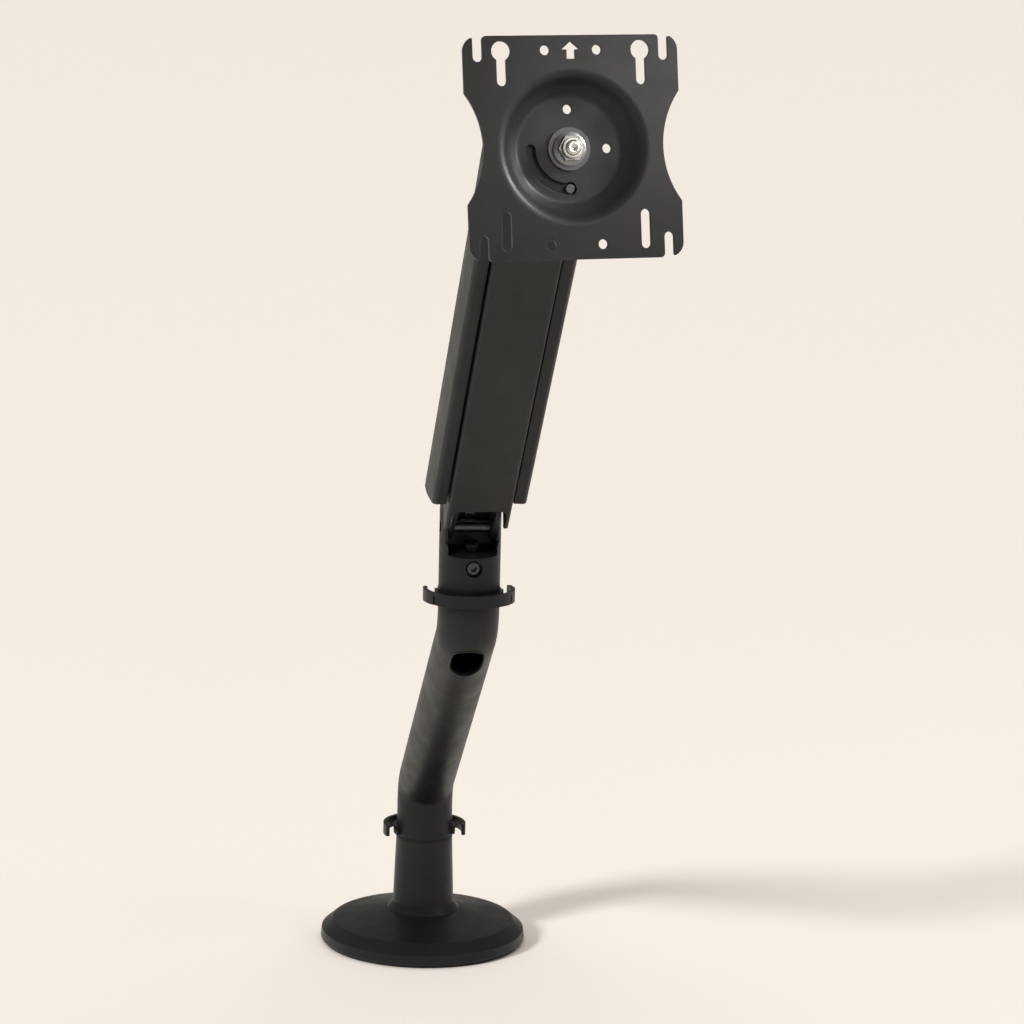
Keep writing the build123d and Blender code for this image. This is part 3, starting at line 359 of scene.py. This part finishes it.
def thread(angle, height):
    """A helical groove: a triangle wave of the height in pitches less the angle in turns."""
    phase = (height / THREAD_PITCH - angle / (2 * math.pi)) % 1.0
    fade = np.clip((stud_front - THREAD_RUNOUT - height) / MM, 0.0, 1.0) * (height > stud_back + MM)
    return -THREAD_DEPTH * np.abs(2 * phase - 1) * fade


stud_heights = np.arange(stud_back, stud_front - STUD_CHAMFER, THREAD_PITCH / THREAD_STEPS)
stud_profile = (
    [(0.0, stud_back)]
    + [(STUD_R, height) for height in stud_heights]
    + [(STUD_R - STUD_CHAMFER, stud_front), (1.4 * MM, stud_front), (0.9 * MM, stud_front - 0.5 * MM)]
    + [(0.0, stud_front - 0.9 * MM)]
)


def stud_wave(angle, height):
    """The thread, only where the surface is the stud's outside."""
    outside = np.array([radius >= STUD_R for radius, _ in stud_profile])[:, None]
    return thread(angle, height) * outside


stud = turned("threaded_stud", stud_profile, turn_point, plate_axis, "tilt", ZINC, 48, stud_wave)
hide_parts("centre_bolt")

# ---- nylon ring in the lock nut's collar ----
COLLAR_R = 5.5 * MM
nut_low, _ = node_box("lock_nut")
nut_tilt = COLLAR_R * math.sqrt(1 - plate_axis[1] ** 2)
nut_front = ((nut_low[1] - turn_point[1]) + nut_tilt) / plate_axis[1]
ring_profile = [
    (4.05 * MM, nut_front - 1.2 * MM),
    (4.05 * MM, nut_front + 0.1 * MM),
    (4.5 * MM, nut_front + 0.35 * MM),
    (5.0 * MM, nut_front + 0.1 * MM),
    (5.1 * MM, nut_front - 1.2 * MM),
]
nut_ring = turned("nut_locking_ring", ring_profile, turn_point, plate_axis, "tilt", PALE_NYLON, 48)

# ---- crowned caps in the covers' round recesses ----
CAP_R = 11.3 * MM
CAP_CROWN = 0.9 * MM
CAP_EDGE = 0.5 * MM
RECESS_DEPTH = 1.8 * MM
CAP_SINK = 0.3 * MM  # how far the cap's foot goes into the recess floor
CAP_BACK = 2.0 * MM
CAP_ABOVE = 3.0 * MM
lift_point, _ = joint_place("lift")
tip_point, _ = joint_place("tip_level")
along_arm = (tip_point - lift_point) / np.linalg.norm(tip_point - lift_point)
above_arm = np.cross(along_arm, [1.0, 0, 0])
cover_low, _ = node_box("left_cover")
recess_side = abs(cover_low[0] - lift_point[0]) - RECESS_DEPTH - CAP_SINK
cap_spread = np.linspace(0.0, 1.0, 14)
cap_profile = [(0.0, 0.0), (CAP_R, 0.0)] + [
    (CAP_R * (1 - 0.04 * t) * math.cos(t * math.pi / 2), CAP_EDGE + CAP_CROWN * math.sin(t * math.pi / 2))
    for t in cap_spread
]
for side, label in ((-1, "left"), (1, "right")):
    outward = np.array([side, 0.0, 0.0])
    centre = tip_point - CAP_BACK * along_arm + CAP_ABOVE * above_arm + recess_side * outward
    cap = turned(f"{label}_recess_cap", cap_profile, centre, outward, "upper_link", SHELL, 96)

# ---- rolled lip round the cable hole ----
TUBE_R = 19.25 * MM
BEND_R = 26.0 * MM
HOLE_HALF_LENGTH = 16.5 * MM
HOLE_HALF_WIDTH = 10.5 * MM
HOLE_BACK = 15.5 * MM
LIP_R = 0.55 * MM
LIP_STEPS = 120
RUN_SHARPNESS = 6  # how squarely the hole's straight runs meet its round ends
LOWER_BEND = np.array([0.0, 0.0, 112.7 * MM])
head_point, _ = joint_place("head_swivel")
UPPER_BEND = np.array([head_point[0], head_point[1], 269.4 * MM])
slope = (UPPER_BEND - LOWER_BEND) / np.linalg.norm(UPPER_BEND - LOWER_BEND)
sideways = np.cross(slope, [0.0, 0.0, 1.0])
sideways = sideways / np.linalg.norm(sideways)
underside = np.cross(slope, sideways)
underside = underside * (-1 if underside[2] > 0 else 1)
bend_turn = math.acos(slope[2])
bend_start = HOLE_BACK - BEND_R * math.tan(bend_turn / 2)


def on_tube(along, across):
    """A point of the tube's outside, from its distances along the slope and sideways from the hole's centre.

    On the straight run the height is the circle's.  Past the bend's start the circle is turned about the
    bend's centre.
    """
    circle = np.sqrt(TUBE_R**2 - across**2)
    past = np.clip(along - bend_start, 0.0, None)
    height = np.sqrt((BEND_R + circle) ** 2 - past**2) - BEND_R
    hole_centre = UPPER_BEND - HOLE_BACK * slope
    return hole_centre + along[..., None] * slope + across[..., None] * sideways + height[..., None] * underside


def hole_outline(turns):
    """A stadium: two half circles joined by straight runs, as distances along and across."""
    angle = 2 * math.pi * turns
    run = HOLE_HALF_LENGTH - HOLE_HALF_WIDTH
    along = run * np.tanh(RUN_SHARPNESS * np.cos(angle)) + HOLE_HALF_WIDTH * np.cos(angle)
    return along, HOLE_HALF_WIDTH * np.sin(angle)


turns = np.arange(LIP_STEPS) / LIP_STEPS
path = on_tube(*hole_outline(turns))
tangent = np.roll(path, -1, axis=0) - np.roll(path, 1, axis=0)
tangent /= np.linalg.norm(tangent, axis=1, keepdims=True)
beside = np.cross(tangent, underside)
beside /= np.linalg.norm(beside, axis=1, keepdims=True)
above = np.cross(beside, tangent)
around = np.linspace(0, 2 * math.pi, 10, endpoint=False)
lip_points = path[:, None, :] + LIP_R * (
    np.cos(around)[None, :, None] * beside[:, None, :] + np.sin(around)[None, :, None] * above[:, None, :]
)
lip = surface("cable_hole_lip", lip_points, "lower_arm", COAT, closed_along=True)

# ---- floor, world and lights ----
CREAM = (0.93, 0.872, 0.79)
PAPER = (0.86, 0.82, 0.785)
WORLD_STRENGTH = 0.32
FLOOR_HALF = 90.0


def studio_floor():
    """A very wide pale floor, so that it fills the view up to the horizon."""
    corners = [(x * FLOOR_HALF, y * FLOOR_HALF, 0.0) for x, y in ((-1, -1), (1, -1), (1, 1), (-1, 1))]
    mesh = bpy.data.meshes.new("studio_floor")
    mesh.from_pydata(corners, [], [(0, 1, 2, 3)])
    floor = bpy.data.objects.new("studio_floor", mesh)
    bpy.context.collection.objects.link(floor)
    paper = Finish("cream_paper", PAPER, 0.9)
    mesh.materials.append(paper.material)


studio_floor()

world = bpy.data.worlds.new("studio_world")
world.use_nodes = True
world.node_tree.nodes["Background"].inputs["Color"].default_value = (*CREAM, 1.0)
world.node_tree.nodes["Background"].inputs["Strength"].default_value = WORLD_STRENGTH
bpy.context.scene.world = world
bpy.context.scene.view_settings.view_transform = "Standard"


def sun(name, heading, height, strength, softness, colour=(1.0, 0.97, 0.93)):
    """A distant light that travels towards a heading from +X, coming down at a height angle, in degrees.

    It isn't mirrored in the black coat, as a big soft source wouldn't be.
    """
    lamp = bpy.data.lights.new(name, "SUN")
    lamp.energy = strength
    lamp.angle = math.radians(softness)
    lamp.color = colour
    turn, drop = math.radians(heading), math.radians(height)
    travel = Vector((math.cos(turn) * math.cos(drop), math.sin(turn) * math.cos(drop), -math.sin(drop)))
    holder = bpy.data.objects.new(name, lamp)
    holder.rotation_euler = travel.to_track_quat("-Z", "Y").to_euler()
    holder.visible_glossy = False
    bpy.context.collection.objects.link(holder)


def softbox(name, place, target, width, height, energy, spread=180.0, colour=(1.0, 0.98, 0.95)):
    """A rectangular area light aimed at a point, its beam spread over an angle in degrees."""
    lamp = bpy.data.lights.new(name, "AREA")
    lamp.shape = "RECTANGLE"
    lamp.size = width
    lamp.size_y = height
    lamp.energy = energy
    lamp.color = colour
    lamp.spread = math.radians(spread)
    holder = bpy.data.objects.new(name, lamp)
    holder.location = place
    holder.rotation_euler = (Vector(target) - Vector(place)).to_track_quat("-Z", "Y").to_euler()
    holder.visible_camera = False
    bpy.context.collection.objects.link(holder)


sun("key_sun", 33.0, 28.0, 2.75, 11.0)
sun("overhead_sky", 0.0, 90.0, 1.2, 70.0)
softbox("right_softbox", (1.5, -0.9, 1.0), (0.0, -0.4, 0.45), 0.6, 1.2, 3.0)
softbox("plate_glow", (0.19, -0.82, 0.74), (0.03, -0.515, 0.61), 0.12, 0.12, 0.028, 35.0)
softbox("rim_glow", (0.55, -0.66, 0.9), (0.0, -0.515, 0.587), 0.1, 0.1, 0.38, 35.0)

# ---- camera ----
CAMERA_PLACE = (-0.31525, -2.18618, 0.68361)
CAMERA_YAW = 9.666
CAMERA_PITCH = 9.696
CAMERA_ROLL = 1.327
CAMERA_LENS = 114.22
SENSOR_WIDTH = 36.0

camera_data = bpy.data.cameras.new("studio_camera")
camera_data.lens = CAMERA_LENS
camera_data.sensor_width = SENSOR_WIDTH
camera_data.clip_start = 0.05
camera_data.clip_end = 400.0
camera = bpy.data.objects.new("studio_camera", camera_data)
camera.matrix_world = (
    Matrix.Translation(CAMERA_PLACE)
    @ Matrix.Rotation(math.radians(-CAMERA_YAW), 4, "Z")
    @ Matrix.Rotation(math.radians(90 - CAMERA_PITCH), 4, "X")
    @ Matrix.Rotation(math.radians(CAMERA_ROLL), 4, "Z")
)
bpy.context.collection.objects.link(camera)
bpy.context.scene.camera = camera
